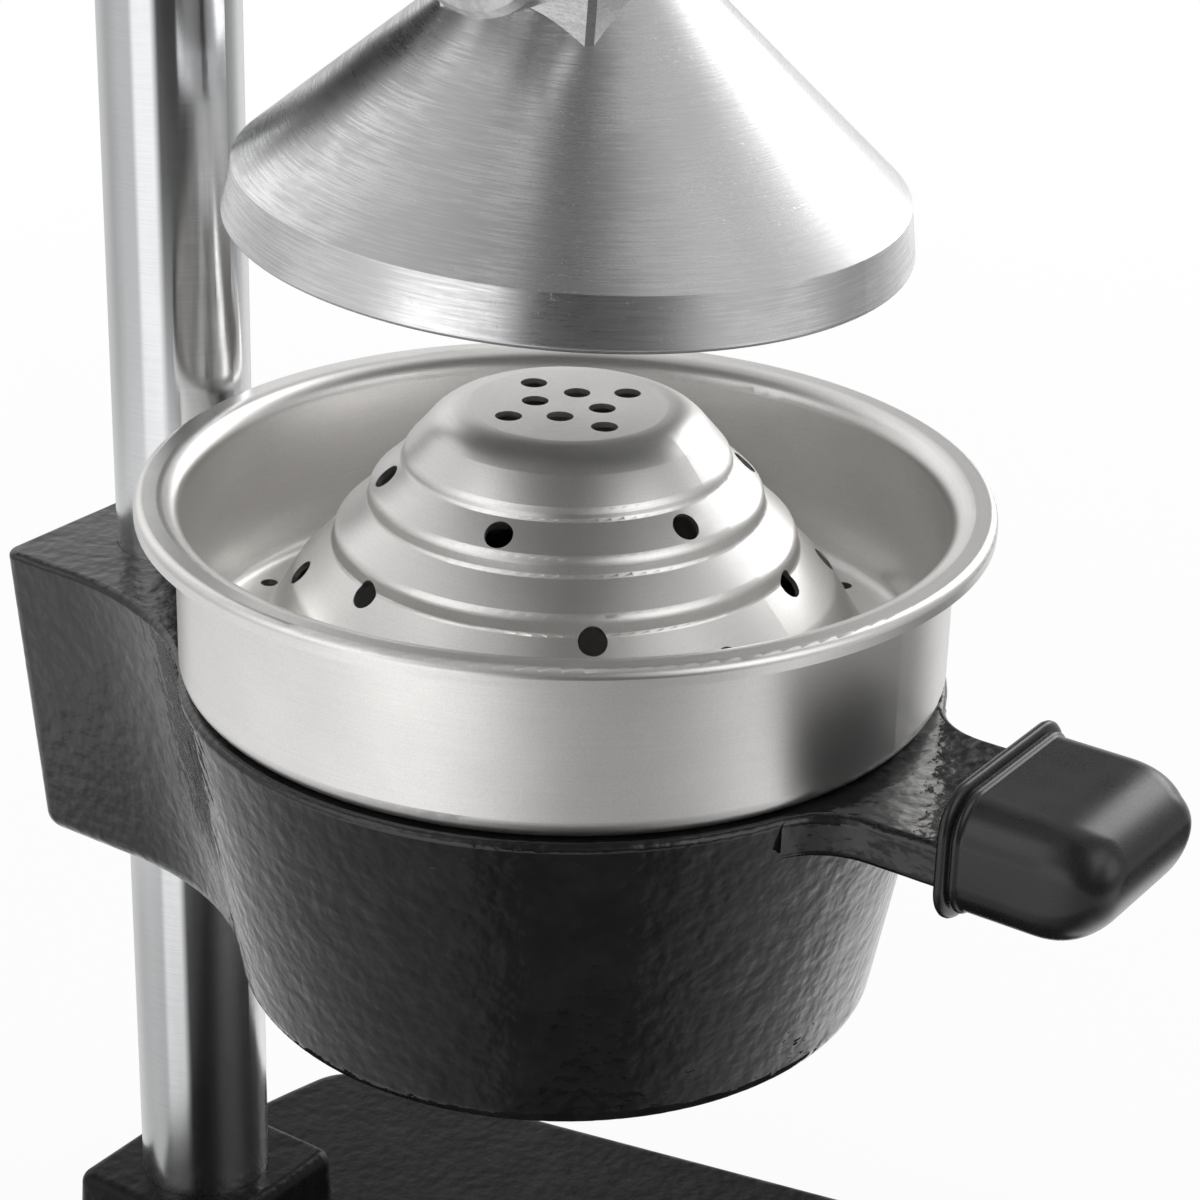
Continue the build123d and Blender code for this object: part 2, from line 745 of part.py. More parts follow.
# The handle's axis leaves the lever pin and leans forward from upright
def handle_place():
    return Pos(pin_x, 0, lever_pin_z) * Rot(0, 90 - handle_angle, 0)


def lever_arm():
    face = make_hull((Circle(hub_radius) + Pos(lever_length, 0) * Circle(hub_radius)).edges())
    beam = extrude(face, amount=hub_half_width, both=True)
    beam = chamfer(beam.edges(), lever_chamfer)
    pocket_half = hub_radius - lever_pocket_rim
    clear = 2 * hub_radius
    pocket = SlotCenterToCenter(lever_length - 2 * clear, 2 * pocket_half)
    for z in (hub_half_width - lever_pocket_depth, -hub_half_width):
        beam -= Pos(lever_length / 2, 0, z) * extrude(pocket, amount=lever_pocket_depth)
    boss = Pos(lever_length, 0, -bell_lug_half_width) * post(hub_radius, 2 * bell_lug_half_width)
    beam += chamfer(boss.edges(), lever_chamfer)
    beam = Pos(pivot_x, 0, pivot_z) * Rot(0, -rest_rise, 0) * Rot(90, 0, 0) * beam
    socket = post(socket_radius, socket_length)
    socket = chamfer(socket.faces().sort_by(Axis.Z)[-1].edges(), lever_chamfer)
    beam += handle_place() * socket
    rod_hole = post(rod_diameter / 2 + slip_fit, rod_bite)
    beam -= handle_place() * Pos(0, 0, socket_length - rod_bite) * rod_hole
    pin_hole = post(pin_radius + slip_fit, 2 * link_outer)
    beam -= along_y(pin_x, -link_outer, lever_pin_z) * pin_hole
    bush_hole = post(pivot_radius + bush_wall + slip_fit, 2 * hub_half_width)
    beam -= along_y(pivot_x, -hub_half_width, pivot_z) * bush_hole
    return beam


def handle_rod():
    rod = post(rod_diameter / 2, rod_length)
    rod = chamfer(rod.edges(), rod_chamfer)
    return handle_place() * Pos(0, 0, socket_length - rod_bite) * rod


def handle_nut():
    nut = hexagon(rod_nut_across, rod_nut_thickness)
    nut -= post(rod_diameter / 2 + slip_fit, rod_nut_thickness)
    return handle_place() * Pos(0, 0, socket_length) * nut


def handle_grip():
    rod_end = socket_length - rod_bite + rod_length
    top = rod_end + handle_grip_cover
    low = top - handle_grip_length
    body = turned([
        (0, low),
        (handle_grip_radius, low, handle_grip_edge),
        (handle_grip_radius, low + handle_grip_collar, handle_grip_edge),
        (handle_grip_neck, low + 2 * handle_grip_collar, handle_grip_collar),
        (handle_grip_radius, top, handle_grip_round),
        (0, top),
    ])
    body -= Pos(0, 0, low) * post(rod_diameter / 2 + grip_fit, rod_end - low + grip_fit)
    return handle_place() * body


def all_pieces():
    pieces = {
        "base_plate": base_plate(),
        "column": column(),
        "column_bolt": column_bolt(),
        "column_washer": column_washer(),
        "cup_holder": cup_holder(),
        "horn_grip": horn_grip(),
        "juice_funnel": juice_funnel(),
        "strainer_bowl": strainer_bowl(),
        "head": head(),
        "head_screw": set_screw(sleeve_wall, pivot_x - column_radius, head_screw_z()),
        "pivot_bolt": pivot_bolt(),
        "pivot_nut": pivot_nut(),
        "lever_arm": lever_arm(),
        "handle_rod": handle_rod(),
        "handle_nut": handle_nut(),
        "handle_grip": handle_grip(),
        "lever_pin": pin(lever_pin_z),
        "lever_pin_washer": pin_washer(lever_pin_z),
        "lever_pin_clip": pin_clip(lever_pin_z),
        "bell_pin": pin(bell_pin_z),
        "bell_pin_washer": pin_washer(bell_pin_z),
        "bell_pin_clip": pin_clip(bell_pin_z),
        "press_bell": press_bell(),
    }
    for number, (x, y) in enumerate(foot_places(), 1):
        pieces[f"foot_{number}"] = foot(x, y)
        pieces[f"foot_screw_{number}"] = foot_screw(x, y)
    for number, z in enumerate(holder_screw_heights(), 1):
        screw_length = block_back - column_radius - holder_height * tan(radians(block_draft))
        pieces[f"holder_screw_{number}"] = set_screw(screw_length, pivot_x - column_radius, z)
    for name, side in (("left", 1), ("right", -1)):
        pieces[f"link_{name}"] = link(side)
        pieces[f"pivot_washer_{name}"] = pivot_washer(side)
        pieces[f"pivot_bush_{name}"] = pivot_bush(side)
    return pieces


os.makedirs("parts", exist_ok=True)
for name, piece in all_pieces().items():
    export_step(piece, f"parts/{name}.step")
print(f"rim {rim:.2f}, pivot {pivot_x:.2f} {pivot_z:.2f}, lever pin {pin_x:.2f} {lever_pin_z:.2f}")
print(f"bell pin {bell_pin_z:.2f}, lever travel {lever_travel:.3f}, link length {link_length:.2f}")
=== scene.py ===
import math

import bmesh
import bpy
from mathutils import Matrix, Vector


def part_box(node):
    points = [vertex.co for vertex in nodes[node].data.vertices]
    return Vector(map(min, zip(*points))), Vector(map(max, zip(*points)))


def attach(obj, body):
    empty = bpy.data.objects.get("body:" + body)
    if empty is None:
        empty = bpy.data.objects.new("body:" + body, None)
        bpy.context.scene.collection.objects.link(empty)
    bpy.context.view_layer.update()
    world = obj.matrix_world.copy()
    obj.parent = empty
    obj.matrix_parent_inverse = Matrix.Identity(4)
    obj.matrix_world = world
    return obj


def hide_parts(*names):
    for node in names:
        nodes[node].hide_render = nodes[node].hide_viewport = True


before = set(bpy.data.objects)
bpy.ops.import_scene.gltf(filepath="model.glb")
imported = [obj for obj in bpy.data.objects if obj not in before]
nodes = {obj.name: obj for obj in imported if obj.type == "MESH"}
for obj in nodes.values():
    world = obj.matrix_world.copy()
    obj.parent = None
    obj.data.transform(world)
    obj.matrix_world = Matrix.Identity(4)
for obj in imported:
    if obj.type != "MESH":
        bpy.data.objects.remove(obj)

scene = bpy.context.scene
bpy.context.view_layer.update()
upright = Vector((0.0, 0.0, 1.0))
print("frame loaded,", len(nodes), "nodes")


# A socket that takes part in sums. Each sum adds a Math node to the same sheet.
class Wire:
    def __init__(self, sheet, socket):
        self.sheet = sheet
        self.socket = socket

    def sum(self, operation, left, right):
        return self.sheet.add("ShaderNodeMath", {"operation": operation}, {0: left, 1: right})

    def __add__(self, other):
        return self.sum("ADD", self, other)

    def __radd__(self, other):
        return self.sum("ADD", other, self)

    def __sub__(self, other):
        return self.sum("SUBTRACT", self, other)

    def __rsub__(self, other):
        return self.sum("SUBTRACT", other, self)

    def __mul__(self, other):
        return self.sum("MULTIPLY", self, other)

    def __rmul__(self, other):
        return self.sum("MULTIPLY", other, self)

    def __truediv__(self, other):
        return self.sum("DIVIDE", self, other)

    def __rtruediv__(self, other):
        return self.sum("DIVIDE", other, self)

    def __pow__(self, other):
        return self.sum("POWER", self, other)

    def __rpow__(self, other):
        return self.sum("POWER", other, self)


turnedGrain = {"way": (0.8, 0.6), "axisGap": 0.002}  # the gap keeps the turn finite on the axis


# The nodes of one material, or of the world
class Sheet:
    def __init__(self, owner):
        owner.use_nodes = True
        self.tree = owner.node_tree
        self.tree.nodes.clear()

    # Adds one node: its type, its settings, then values or links for its sockets.
    # out is the output that comes back, or a tuple of them.
    def add(self, kind, settings=None, values=None, out=0):
        node = self.tree.nodes.new(kind)
        for name, value in (settings or {}).items():
            if name == "stops":
                self.setStops(node.color_ramp, value)
            else:
                setattr(node, name, value)
        for name, value in (values or {}).items():
            socket = node.inputs[name]
            if isinstance(value, Wire):
                self.tree.links.new(value.socket, socket)
            else:
                socket.default_value = value
        if not node.outputs:
            return None
        if isinstance(out, tuple):
            return [Wire(self, node.outputs[name]) for name in out]
        return Wire(self, node.outputs[out])

    def setStops(self, ramp, stops):
        while len(ramp.elements) < len(stops):
            ramp.elements.new(0.5)
        for element, (place, shade) in zip(ramp.elements, stops):
            element.position = place
            element.color = (shade, shade, shade, 1.0)

    def noise(self, place, detail, rough, scale=1.0):
        return self.add("ShaderNodeTexNoise", {"noise_dimensions": "3D"},
                        {"Vector": place, "Scale": scale, "Detail": detail, "Roughness": rough})

    # Noise drawn out into lines or streaks: fine is its scale along x, y and z
    def drawnNoise(self, place, fine, detail, rough):
        drawn = self.add("ShaderNodeVectorMath", {"operation": "MULTIPLY"}, {0: place, 1: fine})
        return self.noise(drawn, detail, rough)

    # Noise in lines that run round an upright axis
    def turnedNoise(self, place, fine, drift, detail, rough):
        x, y, z = self.split(place)
        out = (x * x + y * y) ** 0.5
        turn = (x * turnedGrain["way"][0] + y * turnedGrain["way"][1]) / (out + turnedGrain["axisGap"])
        turned = self.add("ShaderNodeCombineXYZ", None, {0: out * fine, 1: z * fine, 2: turn * drift})
        return self.noise(turned, detail, rough)

    # A smooth step from low to high as the value goes from start to end
    def ramp(self, value, start, end, low=0.0, high=1.0):
        return self.add("ShaderNodeMapRange", {"interpolation_type": "SMOOTHSTEP"},
                        {0: value, 1: start, 2: end, 3: low, 4: high})

    def tint(self, factor, first, second):
        return self.add("ShaderNodeMix", {"data_type": "RGBA"},
                        {0: factor, 6: colour(first), 7: colour(second)}, out=2)

    def bump(self, height, strength, depth):
        return self.add("ShaderNodeBump", None,
                        {"Height": height, "Strength": strength, "Distance": depth})

    def split(self, vector):
        return self.add("ShaderNodeSeparateXYZ", None, {0: vector}, out=(0, 1, 2))

    def dot(self, vector, direction):
        return self.add("ShaderNodeVectorMath", {"operation": "DOT_PRODUCT"},
                        {0: vector, 1: direction}, out="Value")

    # Where a point is on the piece, in metres, in the frame of the press at rest
    def place(self):
        return self.add("ShaderNodeTexCoord", out="Object")

    def surface(self, sockets):
        shader = self.add("ShaderNodeBsdfPrincipled", None, sockets)
        self.add("ShaderNodeOutputMaterial", None, {"Surface": shader})


def colour(value):
    return value if isinstance(value, Wire) else (*value, 1.0)


# Several patterns in one, each by its share
def mixed(patterns, shares):
    total = patterns[0] * shares[0]
    for pattern, share in zip(patterns[1:], shares[1:]):
        total = total + pattern * share
    return total


def newFinish(name):
    material = bpy.data.materials.new(name)
    return material, Sheet(material)


# In the finishes below, shadeAt and roughAt are where the pattern starts and ends its change,
# and depth is in metres. Shares are in the order in which the code names the patterns.
alongAxis = 0.25  # turns the anisotropy, so that highlights spread along the axis

enamel = {
    "dark": (0.0075, 0.0075, 0.0078), "pale": (0.0125, 0.0125, 0.013), "shadeAt": (0.35, 0.68),
    "peel": {"scale": 400.0, "detail": 1.5, "rough": 0.4},
    "grain": {"scale": 1500.0, "detail": 2.0, "rough": 0.5},
    "wave": {"scale": 130.0, "detail": 2.0, "rough": 0.5},  # the casting under the enamel
    "shadeShares": (0.6, 0.4), "heightShares": (1.0, 0.12, 1.4), "strength": 0.42, "depth": 0.0006,
    "roughAt": (0.3, 0.7), "rough": (0.05, 0.1), "gloss": 0.5,
    "baseRough": (0.25, 0.3), "baseGloss": 0.12,  # the base plate is duller
}


def enamelFinish(name, rough, gloss):
    material, sheet = newFinish(name)
    place = sheet.place()
    peel = sheet.noise(place, **enamel["peel"])
    grain = sheet.noise(place, **enamel["grain"])
    wave = sheet.noise(place, **enamel["wave"])
    shade = sheet.ramp(mixed((wave, peel), enamel["shadeShares"]), *enamel["shadeAt"])
    height = mixed((peel, grain, wave), enamel["heightShares"])
    sheet.surface({
        "Base Color": sheet.tint(shade, enamel["dark"], enamel["pale"]),
        "Roughness": sheet.ramp(grain, *enamel["roughAt"], *rough),
        "Specular IOR Level": gloss,
        "Normal": sheet.bump(height, enamel["strength"], enamel["depth"]),
    })
    return material


chrome = {
    "bright": (0.665, 0.67, 0.68), "worn": (0.625, 0.63, 0.635), "shadeAt": (0.38, 0.66),
    "lines": {"fine": (90.0, 90.0, 4200.0), "detail": 3.0, "rough": 0.6},
    "cloud": {"fine": (220.0, 220.0, 60.0), "detail": 3.0, "rough": 0.55},
    "wearShares": (0.6, 0.4), "strength": 0.18, "depth": 0.0000015,
    "roughAt": (0.3, 0.7), "rough": (0.13, 0.17), "ground": 0.95,
}


def chromeFinish():
    material, sheet = newFinish("polishedChrome")
    place = sheet.place()
    lines = sheet.drawnNoise(place, **chrome["lines"])
    cloud = sheet.drawnNoise(place, **chrome["cloud"])
    wear = mixed((lines, cloud), chrome["wearShares"])
    sheet.surface({
        "Base Color": sheet.tint(sheet.ramp(wear, *chrome["shadeAt"]), chrome["bright"], chrome["worn"]),
        "Metallic": 1.0,
        "Roughness": sheet.ramp(wear, *chrome["roughAt"], *chrome["rough"]),
        "Anisotropic": chrome["ground"], "Anisotropic Rotation": alongAxis,
        "Normal": sheet.bump(lines, chrome["strength"], chrome["depth"]),
    })
    return material


stainless = {
    "bright": (0.83, 0.818, 0.80), "dull": (0.72, 0.711, 0.697), "shadeAt": (0.3, 0.7),
    "lines": {"fine": 9000.0, "drift": 3.0, "detail": 3.0, "rough": 0.6},
    "cloud": {"scale": 70.0, "detail": 3.0, "rough": 0.5},
    "speck": {"scale": 3800.0, "detail": 1.0, "rough": 0.5},
    "shadeShares": (0.3, 0.3, 0.4), "roughShares": (0.5, 0.2, 0.3), "heightShares": (1.0, 0.4),
    "strength": 0.2, "depth": 0.000005, "roughAt": (0.3, 0.7), "rough": (0.32, 0.38), "brush": 0.1,
}


def stainlessFinish():
    material, sheet = newFinish("satinStainless")
    place = sheet.place()
    lines = sheet.turnedNoise(place, **stainless["lines"])
    cloud = sheet.noise(place, **stainless["cloud"])
    speck = sheet.noise(place, **stainless["speck"])
    patterns = (lines, cloud, speck)
    shade = sheet.ramp(mixed(patterns, stainless["shadeShares"]), *stainless["shadeAt"])
    satin = mixed(patterns, stainless["roughShares"])
    height = mixed((lines, speck), stainless["heightShares"])
    sheet.surface({
        "Base Color": sheet.tint(shade, stainless["bright"], stainless["dull"]),
        "Metallic": 1.0,
        "Roughness": sheet.ramp(satin, *stainless["roughAt"], *stainless["rough"]),
        "Anisotropic": stainless["brush"], "Anisotropic Rotation": alongAxis,
        "Normal": sheet.bump(height, stainless["strength"], stainless["depth"]),
    })
    return material


sanded = {
    # the middle of the bell's mouth at rest, and its lean in degrees
    "mouth": (-0.00072, 0.0, 0.2515), "tilt": 3.53,
    "bright": (0.83, 0.83, 0.835), "dull": (0.62, 0.62, 0.625), "shadeAt": (0.41, 0.6),
    "lines": {"fine": 2600.0, "drift": 5.0, "detail": 3.0, "rough": 0.62},
    "hatch": {"fine": (180.0, 180.0, 3200.0), "detail": 3.0, "rough": 0.6},
    "cloud": {"scale": 60.0, "detail": 4.0, "rough": 0.55},
    "pits": {"scale": 1500.0, "detail": 2.0, "rough": 0.6}, "pitsAt": (0.66, 0.72), "pitHeight": 0.5,
    "scratchShares": (0.6, 0.4), "wearShares": (0.6, 0.4), "strength": 0.3, "depth": 0.00007,
    "roughAt": (0.35, 0.65), "rough": (0.22, 0.36), "brush": 0.6,
    # the hollow, by how far a face looks down, and the pin's block, by its height, are left as cast; the
    # hollow also gets a darker colour, which is painted shade under the bell
    "insideAt": (-0.15, -0.3), "hollowCastAndPaintedShade": (0.42, 0.42, 0.425), "blockAt": (0.0425, 0.0455),
    "grain": {"scale": 750.0, "detail": 4.0, "rough": 0.6}, "grainHeight": 3.0, "castRough": 0.46,
}


def sandedFinish():
    material, sheet = newFinish("sandedAluminium")
    place = sheet.add("ShaderNodeMapping", {"vector_type": "TEXTURE"}, {
        "Vector": sheet.place(), "Location": sanded["mouth"],
        "Rotation": (0.0, math.radians(sanded["tilt"]), 0.0)})
    lines = sheet.turnedNoise(place, **sanded["lines"])
    hatch = sheet.drawnNoise(place, **sanded["hatch"])
    cloud = sheet.noise(place, **sanded["cloud"])
    grain = sheet.noise(place, **sanded["grain"])
    pits = sheet.ramp(sheet.noise(place, **sanded["pits"]), *sanded["pitsAt"])
    faceUp = sheet.split(sheet.add("ShaderNodeTexCoord", out="Normal"))[2]
    # this mask leaves faces that look down rough as cast, and also darkens them as painted shade
    hollowCastAndPaintedShade = sheet.ramp(faceUp, *sanded["insideAt"])
    block = sheet.ramp(sheet.split(place)[2], *sanded["blockAt"])
    cast = block + hollowCastAndPaintedShade - block * hollowCastAndPaintedShade
    scratch = mixed((lines, hatch), sanded["scratchShares"])
    height = scratch * (1 - cast) - pits * sanded["pitHeight"] + grain * cast * sanded["grainHeight"]
    wear = mixed((scratch, cloud), sanded["wearShares"])
    shade = sheet.ramp(wear, *sanded["shadeAt"])
    rough = sheet.ramp(wear, *sanded["roughAt"], *sanded["rough"])
    outside = sheet.tint(shade, sanded["bright"], sanded["dull"])
    sheet.surface({
        # painted shade: faces that look down take the darker colour
        "Base Color": sheet.tint(hollowCastAndPaintedShade, outside, sanded["hollowCastAndPaintedShade"]),
        "Metallic": 1.0,
        "Roughness": rough * (1 - cast) + cast * sanded["castRough"],
        "Anisotropic": sanded["brush"], "Anisotropic Rotation": alongAxis,
        "Normal": sheet.bump(height, sanded["strength"], sanded["depth"]),
    })
    return material


rawCast = {
    "bright": (0.74, 0.74, 0.745), "dull": (0.50, 0.50, 0.505), "shadeAt": (0.35, 0.65),
    "grain": {"scale": 700.0, "detail": 4.0, "rough": 0.6},
    "cloud": {"scale": 120.0, "detail": 3.0, "rough": 0.5},
    "lines": {"fine": (2600.0, 300.0, 300.0), "detail": 3.0, "rough": 0.6},
    "shadeShares": (0.5, 0.5), "roughShares": (0.7, 0.3), "heightShares": (1.0, 0.4),
    "strength": 0.35, "depth": 0.00015, "roughAt": (0.3, 0.7), "rough": (0.30, 0.46),
}


def rawCastFinish():
    material, sheet = newFinish("castAluminium")
    place = sheet.place()
    grain = sheet.noise(place, **rawCast["grain"])
    cloud = sheet.noise(place, **rawCast["cloud"])
    lines = sheet.drawnNoise(place, **rawCast["lines"])
    shade = sheet.ramp(mixed((grain, cloud), rawCast["shadeShares"]), *rawCast["shadeAt"])
    filed = mixed((grain, lines), rawCast["roughShares"])
    height = mixed((grain, lines), rawCast["heightShares"])
    sheet.surface({
        "Base Color": sheet.tint(shade, rawCast["bright"], rawCast["dull"]),
        "Metallic": 1.0,
        "Roughness": sheet.ramp(filed, *rawCast["roughAt"], *rawCast["rough"]),
        "Normal": sheet.bump(height, rawCast["strength"], rawCast["depth"]),
    })
    return material


gripPlastic = {
    "dark": (0.009, 0.009, 0.0095), "pale": (0.015, 0.015, 0.0155), "shadeAt": (0.35, 0.65),
    "grain": {"scale": 2300.0, "detail": 2.0, "rough": 0.5},
    "cloud": {"scale": 90.0, "detail": 2.0, "rough": 0.5},
    "shadeShares": (0.3, 0.7), "roughShares": (0.6, 0.4), "strength": 0.25, "depth": 0.00002,
    "roughAt": (0.3, 0.7), "rough": (0.25, 0.33),
}


def gripFinish():
    material, sheet = newFinish("satinPlastic")
    place = sheet.place()
    grain = sheet.noise(place, **gripPlastic["grain"])
    cloud = sheet.noise(place, **gripPlastic["cloud"])
    shade = sheet.ramp(mixed((grain, cloud), gripPlastic["shadeShares"]), *gripPlastic["shadeAt"])
    satin = mixed((grain, cloud), gripPlastic["roughShares"])
    sheet.surface({
        "Base Color": sheet.tint(shade, gripPlastic["dark"], gripPlastic["pale"]),
        "Roughness": sheet.ramp(satin, *gripPlastic["roughAt"], *gripPlastic["rough"]),
        "Normal": sheet.bump(grain, gripPlastic["strength"], gripPlastic["depth"]),
    })
    return material


rubber = {
    "dark": (0.012, 0.012, 0.012), "dusty": (0.035, 0.034, 0.033), "dustAt": (0.45, 0.7),
    "grain": {"scale": 1800.0, "detail": 3.0, "rough": 0.6},
    "dust": {"scale": 160.0, "detail": 3.0, "rough": 0.5},
    "strength": 0.3, "depth": 0.0001, "roughAt": (0.3, 0.7), "rough": (0.62, 0.8),
}


def rubberFinish():
    material, sheet = newFinish("footRubber")
    place = sheet.place()
    grain = sheet.noise(place, **rubber["grain"])
    dust = sheet.ramp(sheet.noise(place, **rubber["dust"]), *rubber["dustAt"])
    sheet.surface({
        "Base Color": sheet.tint(dust, rubber["dark"], rubber["dusty"]),
        "Roughness": sheet.ramp(grain, *rubber["roughAt"], *rubber["rough"]),
        "Normal": sheet.bump(grain, rubber["strength"], rubber["depth"]),
    })
    return material


plated = {
    "bright": (0.64, 0.645, 0.65), "dull": (0.55, 0.555, 0.56), "shadeAt": (0.35, 0.7),
    "cloud": {"scale": 260.0, "detail": 3.0, "rough": 0.55},
    "lines": {"fine": (500.0, 4200.0, 500.0), "detail": 2.0, "rough": 0.6},
    "roughShares": (0.5, 0.5), "strength": 0.15, "depth": 0.00003,
    "roughAt": (0.3, 0.7), "rough": (0.2, 0.34),
}
bronze = {
    "bright": (0.60, 0.42, 0.20), "dull": (0.40, 0.26, 0.12), "shadeAt": (0.35, 0.7),
    "cloud": {"scale": 300.0, "detail": 3.0, "rough": 0.55},
    "lines": {"fine": (300.0, 4200.0, 300.0), "detail": 2.0, "rough": 0.6},
    "roughShares": (0.0, 1.0), "strength": 0.15, "depth": 0.00003,
    "roughAt": (0.3, 0.7), "rough": (0.24, 0.38),
}


# Small turned parts: bolts, nuts, pins, washers and bushes
def turnedFinish(name, metal):
    material, sheet = newFinish(name)
    place = sheet.place()
    cloud = sheet.noise(place, **metal["cloud"])
    lines = sheet.drawnNoise(place, **metal["lines"])
    worn = mixed((cloud, lines), metal["roughShares"])
    sheet.surface({
        "Base Color": sheet.tint(sheet.ramp(cloud, *metal["shadeAt"]), metal["bright"], metal["dull"]),
        "Metallic": 1.0,
        "Roughness": sheet.ramp(worn, *metal["roughAt"], *metal["rough"]),
        "Normal": sheet.bump(lines, metal["strength"], metal["depth"]),
    })
    return material


finishes = {
    "enamel": enamelFinish("blackEnamel", enamel["rough"], enamel["gloss"]),
    "baseEnamel": enamelFinish("baseEnamel", enamel["baseRough"], enamel["baseGloss"]),
    "chrome": chromeFinish(), "stainless": stainlessFinish(),
    "sanded": sandedFinish(), "rawCast": rawCastFinish(),
    "grip": gripFinish(), "rubber": rubberFinish(),
    "plated": turnedFinish("platedSteel", plated), "bronze": turnedFinish("turnedBronze", bronze),
}
wears = {
    "enamel": ["cup_holder", "head", "lever_arm"],
    "baseEnamel": ["base_plate"],
    "chrome": ["column", "handle_rod"],
    "stainless": ["strainer_bowl", "juice_funnel"],
    "sanded": ["press_bell"],
    "rawCast": ["link_left", "link_right"],
    "grip": ["horn_grip", "handle_grip"],
    "rubber": ["foot_1", "foot_2", "foot_3", "foot_4"],
    "bronze": ["pivot_bush_left", "pivot_bush_right"],
}
finishOf = {name: finish for finish, names in wears.items() for name in names}
for name, node in nodes.items():
    for slot in node.material_slots:
        slot.material = finishes[finishOf.get(name, "plated")]  # the rest are bolts, pins and the like
print("finishes on", len(nodes), "nodes")


gripShape = {
    "lip": 0.0014, "round": 0.007, "roundMost": 0.98, "turns": 24, "bodyRings": (0.35, 0.7, 1.0),
    "endRun": 0.0125, "endRings": 26, "endTurn": 88.0, "endPower": 0.88,
    "endLift": 0.0022, "cornerIn": 0.0075,
    # along the horn, and how far the outside stands over the body: a thin flange, a groove and a bead
    "flange": ((0.0, 0.0008), (0.0002, 0.0012), (0.0006, 0.0014), (0.0011, 0.0014), (0.0015, 0.0012),
               (0.0017, 0.0008), (0.0018, 0.0003), (0.0019, -0.0001), (0.0021, -0.0001),
               (0.0022, 0.0002), (0.0025, 0.0004), (0.0029, 0.0004), (0.0032, 0.0002),
               (0.0034, 0.0), (0.0040, 0.0)),
}


# One slice of the grip: a rectangle with round corners, as places across and up
def gripSlice(halfWide, halfTall):
    most = gripShape["roundMost"]
    corner = min(gripShape["round"], halfWide * most, halfTall * most)
    points = []
    for quarter, (acrossSide, upSide) in enumerate(((1, 1), (-1, 1), (-1, -1), (1, -1))):
        for step in range(gripShape["turns"]):
            turn = math.pi / 2 * (quarter + step / (gripShape["turns"] - 1))
            points.append((acrossSide * (halfWide - corner) + corner * math.cos(turn),
                           upSide * (halfTall - corner) + corner * math.sin(turn)))
    return points


# The slices from the flange to the end: place along the horn, half width, half height and lift
def gripRings(length, halfWide, halfTall):
    rings = [(along, halfWide + proud, halfTall + proud, 0.0) for along, proud in gripShape["flange"]]
    bodyStart = rings[-1][0]
    bodyEnd = length - gripShape["endRun"]
    for share in gripShape["bodyRings"]:
        rings.append((bodyStart + (bodyEnd - bodyStart) * share, halfWide, halfTall, 0.0))
    for step in range(1, gripShape["endRings"] + 1):
        turn = math.radians(gripShape["endTurn"]) * step / gripShape["endRings"]
        out = math.sin(turn) ** gripShape["endPower"]
        left = math.cos(turn) ** gripShape["endPower"]
        rings.append((bodyEnd + gripShape["endRun"] * out,
                      halfWide - gripShape["cornerIn"] * (1 - left),
                      halfTall * left,
                      gripShape["endLift"] * (1 - left)))
    return rings


def addHornGrip():
    low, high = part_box("horn_grip")
    middle = (low + high) / 2
    halfWide = (high.y - low.y) / 2 - gripShape["lip"]
    halfTall = (high.z - low.z) / 2 - gripShape["lip"]
    grip = bmesh.new()
    loops = []
    for along, wide, tall, lift in gripRings(high.x - low.x, halfWide, halfTall):
        loops.append([grip.verts.new((low.x + along, middle.y + across, middle.z + lift + up))
                      for across, up in gripSlice(wide, tall)])
    for first, second in zip(loops, loops[1:]):
        for index, point in enumerate(first):
            after = (index + 1) % len(first)
            grip.faces.new((point, first[after], second[after], second[index]))
    grip.faces.new(list(reversed(loops[0])))
    grip.faces.new(loops[-1])
    bmesh.ops.recalc_face_normals(grip, faces=grip.faces)
    for face in grip.faces:
        face.smooth = True
    mesh = bpy.data.meshes.new("hornGripCap")
    grip.to_mesh(mesh)
    grip.free()
    piece = bpy.data.objects.new("hornGripCap", mesh)
    scene.collection.objects.link(piece)
    mesh.materials.append(finishes["grip"])
    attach(piece, "stand")
    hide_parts("horn_grip")


addHornGrip()
print("horn grip shaped")


photoView = {
    "lipHeight": 0.2067,
    # both from the middle of the strainer's lip
    "place": (0.27644, -0.39347, 0.19765), "aim": (0.00496, 0.00336, -0.0207),
    "roll": 1.576, "lens": 94.38, "sensor": 36.0, "clipStart": 0.01,
}
lipMiddle = upright * photoView["lipHeight"]


def addCamera():
    place = lipMiddle + Vector(photoView["place"])
    ahead = (lipMiddle + Vector(photoView["aim"]) - place).normalized()
    flatSide = ahead.cross(upright).normalized()
    flatUp = flatSide.cross(ahead)
    roll = math.radians(photoView["roll"])
    side = flatSide * math.cos(roll) + flatUp * math.sin(roll)
    up = flatUp * math.cos(roll) - flatSide * math.sin(roll)
    data = bpy.data.cameras.new("photoCamera")
    data.lens = photoView["lens"]
    data.sensor_width = photoView["sensor"]
    data.clip_start = photoView["clipStart"]
    camera = bpy.data.objects.new("photoCamera", data)
    turned = Matrix((side, up, -ahead)).transposed().to_4x4()
    camera.matrix_world = Matrix.Translation(place) @ turned
    scene.collection.objects.link(camera)
    scene.camera = camera
    toCamera = Vector((place.x, place.y, 0.0)).normalized()
    return toCamera, upright.cross(toCamera)


toCamera, toRight = addCamera()
print("camera at the photograph's view")


studio = {
    "front": 1.6, "back": 2.6, "side": 2.2,
    "paper": (0.9, 0.9, 0.9), "shade": (0.87, 0.87, 0.87), "white": (1.0, 1.0, 1.0),
    "grain": {"scale": 900.0, "detail": 2.0, "rough": 0.5},
    # how white the floor is at the press, and over which metres it goes to full white
    "glow": 0.86, "whiteAt": (0.2, 1.0), "ambient": 0.6,
}
